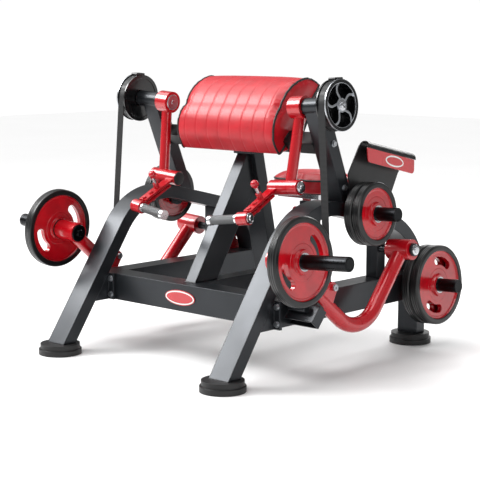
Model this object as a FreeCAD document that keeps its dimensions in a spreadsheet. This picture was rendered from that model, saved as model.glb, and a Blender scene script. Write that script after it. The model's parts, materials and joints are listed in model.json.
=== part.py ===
import FreeCAD, Part
import math
import os

# Plate loaded, seated arm curl machine. Millimetres: X across the machine, +Y towards the seat,
# +Z up, floor at Z = 0. Places are given from the middle of the four feet, and every sub-part's
# Placement then carries it back by centre_y, so that the origin is under the middle of the machine.

V = FreeCAD.Vector
Rot = FreeCAD.Rotation
Place = FreeCAD.Placement
X_AXIS, Y_AXIS, Z_AXIS = V(1, 0, 0), V(0, 1, 0), V(0, 0, 1)

# Driving dimensions. Each one is a named cell of the sheet.
DIMS = {
    "centre_y": 41.76,
    # side frames and their feet
    "frame_centre": 422, "tube_width": 90, "tube_depth": 50, "tube_wall": 3, "frame_bend": 270,
    "foot_pitch": 531, "foot_radius": 80, "foot_height": 40,
    # base beams, 185 above the floor
    "base_bottom": 185, "base_height": 100, "flange_front": -324, "flange_plate": 12, "flange_ear": 26,
    "spine_width": 70, "spine_end": 475,
    # column, towers, posts and the beam that carries the arm pad
    "column_width": 50, "column_depth": 100, "column_top": 742, "cap_height": 22,
    "tower_centre": 413, "tower_width": 70, "tower_depth": 52, "housing_radius": 31,
    "beam_size": 55, "beam_y": 14, "beam_z": 800, "post_y": 302,
    # tilted plane of each arm, cam, belt and lever
    "tilt": 4, "shaft_x": 507, "shaft_y": -42, "shaft_z": 941, "shaft_radius": 20, "running_gap": 0.05,
    "arm_hub_radius": 41, "arm_radius": 20, "arm_wall": 3, "block_radius": 27.5,
    "cam_radius": 91, "groove_radius": 84, "cam_width": 44, "groove_width": 32, "vane_count": 5,
    "belt_width": 30, "belt_thickness": 3, "clearance": 0.4,
    "lever_radius": 27.5, "lever_bend": 150, "lever_wall": 4, "lever_hub_radius": 38, "axle_radius": 15,
    "ear_plate": 8, "ear_radius": 18, "ear_bolt_radius": 10, "buffer_height": 14,
    # bars that take plates, and the plates
    "horn_radius": 25, "horn_collar": 16, "storage_tilt": 3, "plate_gap": 0.08,
    "big_radius": 152, "big_width": 38, "small_radius": 115, "small_width": 36,
    # handles
    "bar_thickness": 8, "bar_width": 36, "bar_level": 8, "bar_bolt_radius": 4.9,
    "collar_radius": 24, "collar_length": 46, "grip_radius": 16.5, "ring_radius": 18.5,
    "spindle_radius": 8, "plunger_radius": 6, "nose_radius": 3.4, "knob_radius": 15,
    # pads and seat
    "pad_length": 500, "board_thickness": 18, "seat_width": 300, "seat_depth": 260, "seat_corner": 80,
    "seat_y": 437, "seat_bottom": 565, "seat_thickness": 70, "post_size": 60, "post_top": 530,
    "stem_size": 44, "seat_travel": 120,
    # bolts and the placard
    "bolt_radius": 9, "bolt_height": 6, "washer_radius": 12, "sheet_plate": 4,
}
D = type("Dims", (), DIMS)
SIDES = {"left": -1, "right": 1}

doc = FreeCAD.newDocument("ArmCurlMachine")
sheet = doc.addObject("Spreadsheet::Sheet", "Dims")
for row, (name, value) in enumerate(DIMS.items(), start=1):
    sheet.set("A%d" % row, name)
    sheet.set("B%d" % row, str(value))
    sheet.setAlias("B%d" % row, name)
doc.recompute()

parts = []


def bind(obj, **properties):
    """Drive properties of an object from the sheet."""
    for prop, expression in properties.items():
        words = ["Dims." + word if word in DIMS else word for word in str(expression).split()]
        obj.setExpression(prop, " ".join(words))


def keep(obj, label):
    """Name a finished sub-part and list it for export."""
    obj.Label = label
    parts.append(obj)


def at(x=0, y=0, z=0, axis=Z_AXIS, angle=0):
    return Place(V(x, y, z), Rot(axis, angle))


ALONG_X = at(axis=Y_AXIS, angle=90)
ALONG_Y = at(axis=X_AXIS, angle=90)


def cylinder(name, radius, height, place):
    """Cylinder along Z of its placement, centred on it."""
    obj = doc.addObject("Part::Cylinder", name)
    bind(obj, Radius=radius, Height=height)
    doc.recompute()
    obj.Placement = place.multiply(at(0, 0, -obj.Height.Value / 2))
    return obj


def box(name, length, width, height, place):
    """Box centred on its placement."""
    obj = doc.addObject("Part::Box", name)
    bind(obj, Length=length, Width=width, Height=height)
    doc.recompute()
    obj.Placement = place.multiply(at(-obj.Length.Value / 2, -obj.Width.Value / 2, -obj.Height.Value / 2))
    return obj


def rod(name, radius, start, end):
    """Cylinder between two points."""
    place = Place((start + end) * 0.5, Rot(Z_AXIS, end - start))
    return cylinder(name, radius, (end - start).Length, place)


def cut(name, base, tool):
    obj = doc.addObject("Part::Cut", name)
    obj.Base, obj.Tool = base, tool
    return obj


def fuse(name, *shapes):
    obj = doc.addObject("Part::MultiFuse", name)
    obj.Shapes = list(shapes)
    return obj


def common(name, *shapes):
    obj = doc.addObject("Part::MultiCommon", name)
    obj.Shapes = list(shapes)
    return obj


def loop(points):
    """Closed outline with straight sides; a point (x, y, r) has its corner rounded to radius r."""
    corners = []
    for i, point in enumerate(points):
        here, radius = V(point[0], point[1], 0), point[2] if len(point) > 2 else 0
        following = points[(i + 1) % len(points)]
        back = (V(points[i - 1][0], points[i - 1][1], 0) - here).normalize()
        ahead = (V(following[0], following[1], 0) - here).normalize()
        half = back.getAngle(ahead) / 2
        reach = radius / math.tan(half)
        middle = here + (back + ahead).normalize() * (radius / math.sin(half) - radius)
        corners.append((here + back * reach, middle, here + ahead * reach))
    edges = []
    for i, (start, middle, end) in enumerate(corners):
        if (end - start).Length > 0.001:
            edges.append(Part.Arc(start, middle, end))
        following = corners[(i + 1) % len(corners)][0]
        if (following - end).Length > 0.001:
            edges.append(Part.LineSegment(end, following))
    return edges


def polar(radius, degrees):
    angle = math.radians(degrees)
    return V(radius * math.cos(angle), radius * math.sin(angle), 0)


def curved_slot(radius, half_width, middle, half_angle):
    """Slot with round ends that follows a circle about the origin."""
    outer, inner = radius + half_width, radius - half_width
    cap = math.degrees(half_width / radius)
    first, last = middle - half_angle, middle + half_angle
    return [Part.Arc(polar(outer, first), polar(outer, middle), polar(outer, last)),
            Part.Arc(polar(outer, last), polar(radius, last + cap), polar(inner, last)),
            Part.Arc(polar(inner, last), polar(inner, middle), polar(inner, first)),
            Part.Arc(polar(inner, first), polar(radius, first - cap), polar(outer, first))]


def band(path, width, bend=0, level=False):
    """Outline of a strip along a path with bends; level ends are cut along the outline's first axis."""
    points = [V(x, y, 0) for x, y in path]
    runs = [(b - a).normalize() for a, b in zip(points, points[1:])]
    left, right = [], []
    for i, point in enumerate(points):
        behind, ahead = runs[max(i - 1, 0)], runs[min(i, len(runs) - 1)]
        if i in (0, len(runs)):
            normal = V(-ahead.y, ahead.x, 0) * (width / 2)
            shift = ahead * (normal.y / ahead.y) if level else V()
            left.append((point + normal - shift, 0))
            right.append((point - normal + shift, 0))
        else:
            normal = V(-behind.y - ahead.y, behind.x + ahead.x, 0).normalize()
            reach = width / 2 / math.cos(behind.getAngle(ahead) / 2)
            turn = math.copysign(width / 2, behind.cross(ahead).z)
            left.append((point + normal * reach, bend - turn if bend else 0))
            right.append((point - normal * reach, bend + turn if bend else 0))
    return loop([(point.x, point.y, radius) for point, radius in left + right[::-1]])


def add_sketch(body, plane, loops):
    sketch = body.newObject("Sketcher::SketchObject", "Outline")
    support = [feature for feature in body.Origin.OriginFeatures if feature.Role == plane + "_Plane"][0]
    sketch.AttachmentSupport = [(support, "")]
    sketch.MapMode = "FlatFace"
    for edges in loops:
        sketch.addGeometry(edges, False)
    return sketch


def pad(name, plane, loops, length, place=Place()):
    """Body whose outline, in one of its own planes, is padded half to each side."""
    body = doc.addObject("PartDesign::Body", name)
    feature = body.newObject("PartDesign::Pad", "Pad")
    feature.Profile = add_sketch(body, plane, loops)
    feature.Midplane = True
    bind(feature, Length=length)
    body.Placement = place
    return body


def pocket(body, plane, loops, length):
    """Cut an outline out of a body, half of the length to each side of the plane."""
    doc.recompute()
    volume = body.Shape.Volume
    feature = body.newObject("PartDesign::Pocket", "Pocket")
    feature.Profile = add_sketch(body, plane, loops)
    feature.Midplane = True
    bind(feature, Length=length)
    doc.recompute()
    if body.Shape.Volume > volume - 1:
        raise RuntimeError(body.Name + ": the pocket cuts nothing")
    return body


def turned(name, outline, place):
    """Body turned about Z of its placement; the outline is in radius and height."""
    body = doc.addObject("PartDesign::Body", name)
    feature = body.newObject("PartDesign::Revolution", "Turned")
    feature.Profile = add_sketch(body, "XZ", [loop(outline)])
    feature.ReferenceAxis = (body.Group[-1], ["V_Axis"])
    feature.Angle = 360
    body.Placement = place
    return body


def box_tube(name, plane, path, depth, width, place, bend=0, level=False):
    """Hollow rectangular tube, open at both ends, whose centreline is a path in one plane."""
    body = pad(name, plane, [band(path, depth, bend, level)], width, place)
    inside = band(path, depth - 2 * D.tube_wall, bend, level)
    return pocket(body, plane, [inside], width + " - 2 * tube_wall")


def bolt(name, place):
    """Domed bolt head on a washer; it stands on Z of its placement."""
    washer = cylinder(name + "Washer", "washer_radius", 2, place.multiply(at(0, 0, 1)))
    head = cylinder(name + "Head", "bolt_radius", "bolt_height", place.multiply(at(0, 0, 2 + D.bolt_height / 2)))
    return fuse(name, washer, head)


# ---- side frames: slanted front leg, falling top rail, upright rear leg -----------------------------
FRONT_FOOT, FRONT_KNEE = (-523.5, D.foot_height), (-129, 608)
REAR_KNEE, REAR_FOOT = (535, 449), (535, D.foot_height)
FRAME_PATH = [FRONT_FOOT, FRONT_KNEE, REAR_KNEE, REAR_FOOT]
RAIL_SLOPE = (REAR_KNEE[1] - FRONT_KNEE[1]) / (REAR_KNEE[0] - FRONT_KNEE[0])
OUTER_FACE = D.frame_centre + D.tube_width / 2
INNER_FACE = D.frame_centre - D.tube_width / 2
BASE_TOP = D.base_bottom + D.base_height
BASE_MIDDLE = D.base_bottom + D.base_height / 2
BEAM_START = D.flange_front + D.flange_plate


def rail_z(y):
    """Height of the top rail's centreline."""
    return FRONT_KNEE[1] + (y - FRONT_KNEE[0]) * RAIL_SLOPE


def leg_y(z):
    """Place of the slanted leg's centreline at a height."""
    return FRONT_FOOT[0] + (FRONT_KNEE[0] - FRONT_FOOT[0]) * (z - FRONT_FOOT[1]) / (FRONT_KNEE[1] - FRONT_FOOT[1])


frame_room = {}
for side_name, side in SIDES.items():
    middle = at(side * D.frame_centre)
    keep(box_tube("SideFrame", "YZ", FRAME_PATH, D.tube_depth, "tube_width", middle, D.frame_bend, True),
         "side_frame_" + side_name)
    frame_room[side] = pad("FrameRoom", "YZ", [band(FRAME_PATH, D.tube_depth, D.frame_bend, True)],
                           "tube_width + 2", middle)

    # side beam with its front flange, and the stub that joins the flange to the slanted leg
    beam = box_tube("SideBeam", "YZ", [(BEAM_START, BASE_MIDDLE), (REAR_KNEE[0], BASE_MIDDLE)],
                    D.base_height, "tube_width", middle)
    flange = box("Flange", "tube_width + 2 * flange_ear", "flange_plate", "base_height",
                 at(side * D.frame_centre, D.flange_front + D.flange_plate / 2, BASE_MIDDLE))
    stub = pad("Stub", "YZ", [loop([(D.flange_front, D.base_bottom), (D.flange_front, BASE_TOP),
                                    (leg_y(BASE_TOP) - 2, BASE_TOP), (leg_y(D.base_bottom), D.base_bottom)])],
               "tube_width", middle)
    rear_room = box("RearRoom", "tube_width + 2", 100, "base_height + 2",
                    at(side * D.frame_centre, REAR_KNEE[0] + 50, BASE_MIDDLE))
    keep(cut("BaseSideBeam", fuse("SideBeamWelded", beam, flange, stub), fuse("LegRooms", frame_room[side], rear_room)),
         "base_side_beam_" + side_name)

# ---- rubber feet: a stepped disc under every leg -----------------------------------------------------
feet = []
for x in (-D.frame_centre, D.frame_centre):
    for y in (-D.foot_pitch, D.foot_pitch):
        feet.append(cylinder("FootBase", "foot_radius", "foot_height / 2", at(x, y, D.foot_height / 4)))
        feet.append(cylinder("FootTop", "foot_radius - 6", "foot_height / 2", at(x, y, D.foot_height * 3 / 4)))
keep(fuse("RubberFeet", *feet), "rubber_feet")

# ---- front beam and spine beam ------------------------------------------------------------------------
front_beam_y = BEAM_START + D.tube_width / 2
keep(box_tube("FrontBeam", "XZ", [(-INNER_FACE, BASE_MIDDLE), (INNER_FACE, BASE_MIDDLE)], D.base_height,
              "tube_width", at(0, front_beam_y)), "base_front_beam")
keep(box_tube("Spine", "YZ", [(front_beam_y + D.tube_width / 2, BASE_MIDDLE), (D.spine_end, BASE_MIDDLE)],
              D.base_height, "spine_width", at()), "base_spine_beam")

# ---- column: slanted front leg and rear leg, with a cap that cradles the pad beam ---------------------
COLUMN_FRONT = [(-261, BASE_TOP), (22, D.column_top)]
column_slope = math.atan2(COLUMN_FRONT[1][1] - COLUMN_FRONT[0][1], COLUMN_FRONT[1][0] - COLUMN_FRONT[0][0])
column_path = [(y + D.column_depth / 2 / math.sin(column_slope), z) for y, z in COLUMN_FRONT]
REAR_LEG_PATH = [(168.5, BASE_TOP), (65.5, D.column_top)]
rear_leg_room = pad("RearLegRoom", "YZ", [loop([
    (REAR_LEG_PATH[0][0] - 26.2, BASE_TOP), (REAR_LEG_PATH[1][0] - 26.2, D.column_top + 1),
    (300, D.column_top + 1), (300, BASE_TOP)])], "tube_width + 4")
front_tube = box_tube("ColumnFrontTube", "YZ", column_path, D.column_depth, "column_width", at(), 0, True)
keep(cut("ColumnFrontLeg", front_tube, rear_leg_room), "column_front_leg")

pad_beam_place = at(0, D.beam_y, D.beam_z, X_AXIS, 45)
beam_room = box("BeamRoom", "pad_length + 40", "beam_size", "beam_size", pad_beam_place)
rear_leg = box_tube("RearLegTube", "YZ", REAR_LEG_PATH, D.tube_depth, "tube_width", at(), 0, True)
cap = box("ColumnCap", "tube_width", 72, "cap_height", at(0, 58, D.column_top + D.cap_height / 2))
keep(cut("ColumnRearLeg", fuse("RearLegCapped", rear_leg, cap), beam_room), "column_rear_leg")
keep(box_tube("PadBeam", "XZ", [(-INNER_FACE - 1, 0), (INNER_FACE + 1, 0)], D.beam_size, "beam_size",
              pad_beam_place), "pad_cross_beam")

# ---- places in the tilted plane of an arm ------------------------------------------------------------
def arm_plane(side, off=0, y=0, z=0):
    """Placement in one arm's plane: off is outwards along the shaft, z is upwards from the shaft."""
    return at(side * D.shaft_x, 0, D.shaft_z, Y_AXIS, -side * D.tilt).multiply(at(side * off, y, z))


def across(name, side, radius, start, end, y, z):
    """Cylinder parallel to the shaft, between two distances from the arm plane."""
    return cylinder(name, radius, abs(end - start), arm_plane(side, (start + end) / 2, y, z).multiply(ALONG_X))


LEVER_PIVOT, LEVER_CORNER, LEVER_HUB = (297, -540), (25, -834), (-367, -507)
HOUSING_START, HOUSING_END = -140, -24
HUB_START, HUB_END = -198, -141
shaft = (D.shaft_y, 0)

# ---- towers with the shaft housings, and posts with the lever axles ----------------------------------
tower_foot_y = 115
tower_path = [(D.shaft_y, D.shaft_z - 14), (tower_foot_y, rail_z(tower_foot_y))]
for side_name, side in SIDES.items():
    tube = box_tube("TowerTube", "YZ", tower_path, D.tower_depth, "tower_width", at(side * D.tower_centre))
    housing = across("Housing", side, "housing_radius", HOUSING_START, HOUSING_END, *shaft)
    bore = across("HousingBore", side, "shaft_radius + running_gap", HOUSING_START - 5, HOUSING_END + 5, *shaft)
    keep(cut("Tower", fuse("TowerWelded", tube, housing), fuse("TowerRoom", bore, frame_room[side])),
         "tower_" + side_name)

    post = box_tube("PostTube", "YZ", [(D.post_y, BASE_TOP), (D.post_y, rail_z(D.post_y))], D.tube_depth,
                    "tube_depth", at(side * D.frame_centre))
    axle = across("Axle", side, "axle_radius", -120, 62, *LEVER_PIVOT)
    axle_head = across("AxleHead", side, "axle_radius + 9", 52, 62, *LEVER_PIVOT)
    keep(cut("PivotPost", fuse("PostWithAxle", post, axle, axle_head), frame_room[side]), "pivot_post_" + side_name)

# ---- arm pad and its board -----------------------------------------------------------------------------
PAD_TIP, PAD_LOW, PAD_BACK = V(-50, 750, 0), V(55, 778, 0), V(182, 1004, 0)
PAD_SHOULDER, PAD_TOP = V(-43, 930, 0), V(112, 1031, 0)
arm_pad = pad("ArmPad", "YZ", [[
    Part.Arc(PAD_TIP, V(-78, 805, 0), PAD_SHOULDER), Part.Arc(PAD_SHOULDER, V(20, 1003, 0), PAD_TOP),
    Part.Arc(PAD_TOP, V(150, 1024, 0), PAD_BACK), Part.LineSegment(PAD_BACK, PAD_LOW),
    Part.LineSegment(PAD_LOW, PAD_TIP)]], "pad_length")
keep(cut("PreacherPad", arm_pad, beam_room), "preacher_pad")
up_back = (PAD_BACK - PAD_LOW).normalize()
board_shift = V(up_back.y, -up_back.x, 0) * (D.board_thickness / 2)
board_ends = [PAD_LOW + up_back * 8 + board_shift, PAD_BACK - up_back * 8 + board_shift]
keep(pad("PadBoard", "YZ", [band([(end.x, end.y) for end in board_ends], D.board_thickness)],
         "pad_length - 30"), "pad_board")

# ---- seat: post, sliding stem with its board, pad, and lock pin --------------------------------------
STEM_Y = D.seat_y - 15
BOARD_BOTTOM = D.seat_bottom - D.board_thickness
STEM_BOTTOM = 320
PIN_Z = D.post_top - 30
post_height = D.post_top - BASE_TOP
post_middle = at(0, STEM_Y, BASE_TOP + post_height / 2)
post_face_y = STEM_Y - D.post_size / 2
stem_room = box("StemRoom", "stem_size + clearance", "stem_size + clearance", post_height + 2, post_middle)
pin_room = cylinder("PinRoom", "plunger_radius + running_gap", 40, at(0, post_face_y, PIN_Z).multiply(ALONG_Y))
keep(cut("SeatPost", box("PostOuter", "post_size", "post_size", post_height, post_middle),
         fuse("PostRoom", stem_room, pin_room)), "seat_post")
stem = box("Stem", "stem_size", "stem_size", BOARD_BOTTOM - STEM_BOTTOM, at(0, STEM_Y, (BOARD_BOTTOM + STEM_BOTTOM) / 2))
seat_board = box("SeatBoard", "seat_width - 90", "seat_depth - 80", "board_thickness",
                 at(0, D.seat_y, D.seat_bottom - D.board_thickness / 2))
pin_groove = box("PinGroove", "2 * plunger_radius + 1", 8, D.seat_travel + 20,
                 at(0, STEM_Y - D.stem_size / 2, PIN_Z - D.seat_travel / 2))
keep(cut("SeatStem", fuse("StemAndBoard", stem, seat_board), pin_groove), "seat_stem")
half_w, half_d = D.seat_width / 2, D.seat_depth / 2
seat_outline = [(x, y, D.seat_corner) for x, y in ((-half_w, -half_d), (half_w, -half_d), (half_w, half_d), (-half_w, half_d))]
keep(pad("SeatPad", "XY", [loop(seat_outline)], "seat_thickness", at(0, D.seat_y, D.seat_bottom + D.seat_thickness / 2)),
     "seat_pad")
pin_bar = cylinder("PinBar", "plunger_radius", 50, at(0, post_face_y - 15, PIN_Z).multiply(ALONG_Y))
pin_knob = cylinder("PinKnob", "knob_radius", 24, at(0, post_face_y - 50, PIN_Z).multiply(ALONG_Y))
keep(fuse("SeatPin", pin_bar, pin_knob), "seat_pin")


# ---- plates --------------------------------------------------------------------------------------------
def plate(name, radius, width, place, grips=None):
    """Dished plate with a thick rim and hub; big ones have two curved grip holes, at a turn about the bar."""
    half, bore = width / 2, D.horn_radius + D.plate_gap
    hub, rim, dish = bore + 15, radius - 24, 10
    body = turned(name, [
        (bore, -half), (hub, -half), (hub + 4, dish - half), (rim, dish - half), (rim + 4, 1 - half),
        (radius, 1 - half, 7), (radius, half - 1, 7), (rim + 4, half - 1), (rim, half - dish),
        (hub + 4, half - dish), (hub, half), (bore, half)], place)
    if grips is None:
        return body
    return pocket(body, "XY", [curved_slot(92, 16, middle, 22) for middle in (grips, grips + 180)], width)


# ---- storage bars on the rail and on the rear leg ------------------------------------------------------
LOAD_GRIPS, STORED_GRIPS = -62, -20
STORES = {"mid": (140, rail_z(140), D.small_radius, D.small_width, None),
          "rear": (REAR_FOOT[0] - 5, 236, D.big_radius, D.big_width, STORED_GRIPS)}
STORE_END = 176
for side_name, side in SIDES.items():
    for store, (y, z, radius, width, grips) in STORES.items():
        root = at(side * OUTER_FACE, y, z, Y_AXIS, -side * D.storage_tilt)

        def along(off):
            return root.multiply(at(side * off)).multiply(ALONG_X)

        frame_block = box("FrameBlock", "tube_width", 200, 200, at(side * D.frame_centre, y, z))
        collar = cylinder("StoreCollar", "horn_radius + 17", "horn_collar + 6", along(D.horn_collar / 2 - 3))
        bar = cylinder("StoreBar", "horn_radius", STORE_END - D.horn_collar, along((STORE_END + D.horn_collar) / 2))
        keep(cut("StorageHorn", fuse("HornWelded", collar, bar), frame_block), "storage_horn_%s_%s" % (store, side_name))
        for order, position in enumerate(("inner", "outer")):
            off = D.horn_collar + 0.5 + width / 2 + order * (width + 0.5)
            keep(plate("StoredPlate", radius, width, along(off), grips), "plate_%s_%s_%s" % (store, position, side_name))

# ---- arms with shaft, cam and belt ---------------------------------------------------------------------
ARM_TOP, ARM_LOW = (-169, D.shaft_y, -20), (-203, -77, -280)
BLOCK_START, BLOCK_END, BLOCK_Y, BLOCK_Z = -288, -154, -80, -283
BAR_OFF, BAR_FALL, GRIP_YAW = -264, 26.7, 6.7
UPPER_BAR, LOWER_BAR, GRIP_REACH = (20, 179), (42, 205), 205
BAR_BOLTS, PLUNGER_REACH, HANDLE_TRAVEL = (131, 168), 96, 24
belt_top = (D.shaft_y - D.groove_radius - D.belt_thickness / 2 - D.clearance, 0)
EAR_BOLT = (-138, -625)


def bar_place(side, reach, level=0):
    """Placement on the handle bars: reach runs from the arm's block to the grip, level is across the bars."""
    root = arm_plane(side, BAR_OFF, BLOCK_Y, BLOCK_Z).multiply(at(axis=X_AXIS, angle=BAR_FALL))
    return root.multiply(at(0, -reach, level))


def bar(name, side, ends, level):
    return box(name, "bar_width", ends[1] - ends[0], "bar_thickness", bar_place(side, sum(ends) / 2, level))


def bar_pin(name, side, radius, reach, low, high):
    """Cylinder across the bars between two levels."""
    return cylinder(name, radius, high - low, bar_place(side, reach, (low + high) / 2))


def bar_slot(side, reach, travel, radius):
    """Room for a bolt in the sliding bar, which moves away by the travel."""
    slot = [bar_pin("SlotEnd", side, radius, reach - shift, -2 * D.bar_level, 0) for shift in (0, travel)]
    slot.append(box("SlotMiddle", radius * 2, travel, 2 * D.bar_level, bar_place(side, reach - travel / 2, -D.bar_level)))
    return slot


def grip_place(side, inward):
    """Placement along the grip's axis, from the middle of its collar towards the grip's free end."""
    root = bar_place(side, GRIP_REACH, -4).multiply(at(axis=Z_AXIS, angle=side * GRIP_YAW))
    return root.multiply(at(-side * inward)).multiply(ALONG_X)


def grip_cylinder(name, side, radius, start, end):
    return cylinder(name, radius, end - start, grip_place(side, (start + end) / 2))


upper, lower = D.bar_level, -D.bar_level
bar_top, bar_underside = upper + D.bar_thickness / 2, lower - D.bar_thickness / 2
inner_gap = upper - D.bar_thickness / 2
for side_name, side in SIDES.items():
    hub = across("Hub", side, "arm_hub_radius", HUB_START, HUB_END, *shaft)
    ends = [arm_plane(side, *point).Base for point in (ARM_TOP, ARM_LOW)]
    tube = cut("ArmTube", rod("ArmOuter", "arm_radius", *ends), rod("ArmInner", "arm_radius - arm_wall", *ends))
    block = across("Block", side, "block_radius", BLOCK_START, BLOCK_END, BLOCK_Y, BLOCK_Z)
    arm_pieces = [hub, tube, block, bar("UpperBar", side, UPPER_BAR, upper)]
    for reach in BAR_BOLTS:
        arm_pieces.append(bar_pin("BarBolt", side, "bar_bolt_radius", reach, bar_underside - 8, bar_top + 2))
        arm_pieces.append(bar_pin("BarBoltHead", side, "bolt_radius", reach, bar_top, bar_top + 6))
        arm_pieces.append(bar_pin("BarSpacer", side, "bolt_radius", reach, 0.5 - inner_gap, inner_gap))
        arm_pieces.append(bar_pin("BarNut", side, "bolt_radius", reach, bar_underside - 9, bar_underside - 0.5))
    arm_pieces.append(bar_pin("PlungerGuide", side, "plunger_radius + 5", PLUNGER_REACH, bar_top, bar_top + 22))
    guide_bore = bar_pin("GuideBore", side, "plunger_radius + running_gap", PLUNGER_REACH, bar_top, bar_top + 30)
    nose_bore = bar_pin("NoseBore", side, "nose_radius + running_gap", PLUNGER_REACH, 0, bar_top + 2)
    keep(cut("CurlArm", fuse("ArmWelded", *arm_pieces), fuse("GuideRoom", guide_bore, nose_bore)),
         "curl_arm_" + side_name)
    keep(across("DriveShaft", side, "shaft_radius", HUB_END, -D.cam_width / 2, *shaft), "drive_shaft_" + side_name)

    # cam wheel: grooved rim, web, hub, curved vanes and the belt's clamp
    half, groove = D.cam_width / 2, D.groove_width / 2
    inner_rim = D.groove_radius - 7
    cam_place = arm_plane(side, 0, *shaft)
    rim = turned("CamRim", [
        (inner_rim, -half), (D.cam_radius, -half), (D.cam_radius, -groove), (D.groove_radius, -groove),
        (D.groove_radius, groove), (D.cam_radius, groove), (D.cam_radius, half), (inner_rim, half)],
        cam_place.multiply(ALONG_X))
    cam_pieces = [rim, across("CamHub", side, 25, -half, half, *shaft),
                  across("CamWeb", side, "groove_radius - 3", 2 - half, 8 - half, *shaft)]
    for order in range(D.vane_count):
        turn = at(axis=X_AXIS, angle=20 + order * 360 / D.vane_count)
        vane = band([(20, 0), (56, 24), (inner_rim + 3, 4)], 8, 26)
        cam_pieces.append(pad("CamVane", "YZ", [vane], "cam_width - 8", cam_place.multiply(turn)))
    clamp = loop([(-24, 76), (20, 76), (20, 97, 4), (-24, 97, 4)])
    cam_pieces.append(pad("CamClamp", "YZ", [clamp], "groove_width - 2", cam_place))
    keep(fuse("Cam", *cam_pieces), "cam_" + side_name)

    # flat belt from the groove's front down to the bolt in the lever's ears
    keep(pad("Belt", "YZ", [band([belt_top, (EAR_BOLT[0], EAR_BOLT[1] + D.ear_bolt_radius + 1)], D.belt_thickness)],
             "belt_width", arm_plane(side)), "belt_" + side_name)

    # sliding bar with the grip's collar and spindle
    collar = grip_cylinder("Collar", side, "collar_radius", -D.collar_length / 2, D.collar_length / 2)
    spindle = grip_cylinder("Spindle", side, "spindle_radius", 0, 148)
    slots = [piece for reach in BAR_BOLTS for piece in bar_slot(side, reach, HANDLE_TRAVEL, D.bar_bolt_radius + 0.3)]
    slots += bar_slot(side, PLUNGER_REACH, HANDLE_TRAVEL, D.nose_radius + 0.3)
    keep(cut("HandleBracket", fuse("HandleWelded", bar("LowerBar", side, LOWER_BAR, lower), collar, spindle),
             fuse("HandleSlots", *slots)), "handle_bracket_" + side_name)

    # grip that turns on the spindle: knurled tube between two rings
    grip = fuse("GripOuter", grip_cylinder("GripTube", side, "grip_radius", 24, 157),
                grip_cylinder("GripRing", side, "ring_radius", 24, 35),
                grip_cylinder("GripCap", side, "ring_radius", 142, 157))
    bore = grip_cylinder("GripBore", side, "spindle_radius + running_gap", 20, 149)
    keep(cut("Grip", grip, bore), "grip_" + side_name)

    # pull knob that locks the sliding bar
    knob = doc.addObject("Part::Sphere", "Knob")
    bind(knob, Radius="knob_radius")
    knob.Placement = bar_place(side, PLUNGER_REACH, bar_top + 60)
    keep(fuse("IndexPlunger", bar_pin("Nose", side, "nose_radius", PLUNGER_REACH, lower, bar_top + 4), knob,
              bar_pin("PlungerRod", side, "plunger_radius", PLUNGER_REACH, bar_top + 3, bar_top + 55)),
         "index_plunger_" + side_name)


# ---- weight levers: bent tube, hubs, ears, and the bar that takes the load -----------------------------
def bent_tube(name, side, path, bend, radius, wall):
    """Hollow round tube along two runs of the arm plane that are joined by one bend."""
    first, corner, last = [V(0, y, z) for y, z in path]
    back, ahead = (first - corner).normalize(), (last - corner).normalize()
    half = back.getAngle(ahead) / 2
    reach = bend / math.tan(half)
    middle = corner + (back + ahead).normalize() * (bend / math.sin(half) - bend)
    start, end = corner + back * reach, corner + ahead * reach
    spine = doc.addObject("Part::Feature", name + "Spine")
    spine.Shape = Part.Wire([Part.LineSegment(first, start).toShape(), Part.Arc(start, middle, end).toShape(),
                             Part.LineSegment(end, last).toShape()])
    spine.Placement = arm_plane(side)
    sweeps = []
    for size in (radius, radius + " - " + wall):
        section = doc.addObject("Part::Circle", name + "Section")
        bind(section, Radius=size)
        section.Placement = arm_plane(side).multiply(Place(first, Rot(Z_AXIS, back * -1)))
        sweep = doc.addObject("Part::Sweep", name + "Sweep")
        sweep.Sections, sweep.Spine, sweep.Solid = [section], (spine, []), True
        sweeps.append(sweep)
    return cut(name, *sweeps)


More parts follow.
